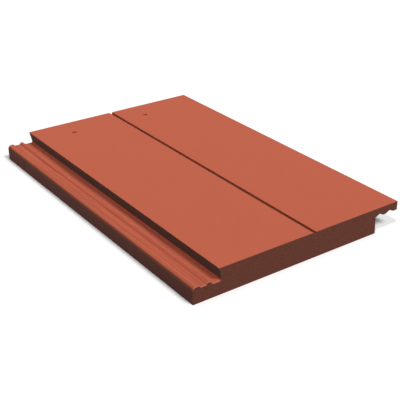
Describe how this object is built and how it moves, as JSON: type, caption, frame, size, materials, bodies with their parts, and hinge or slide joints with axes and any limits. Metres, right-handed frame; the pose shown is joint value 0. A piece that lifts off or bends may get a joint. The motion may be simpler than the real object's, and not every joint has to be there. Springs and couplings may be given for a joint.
{
  "type": "concrete half tile",
  "caption": "Flat interlocking concrete roof tile with a ribbed side lock, a dummy joint down its face, nail holes and a pocketed underside.",
  "frame": {"origin": "middle of the bounding box, on the plane that the tile lies on", "axes": "+X across the roof towards the over-lock, +Y up the slope from tail to head, +Z out of the face"},
  "size_m": [0.2776, 0.42, 0.0305],
  "materials": {
    "concrete": "matte"
  },
  "bodies": {
    "root": {"roof_tile": "concrete"}
  },
  "joints": []
}
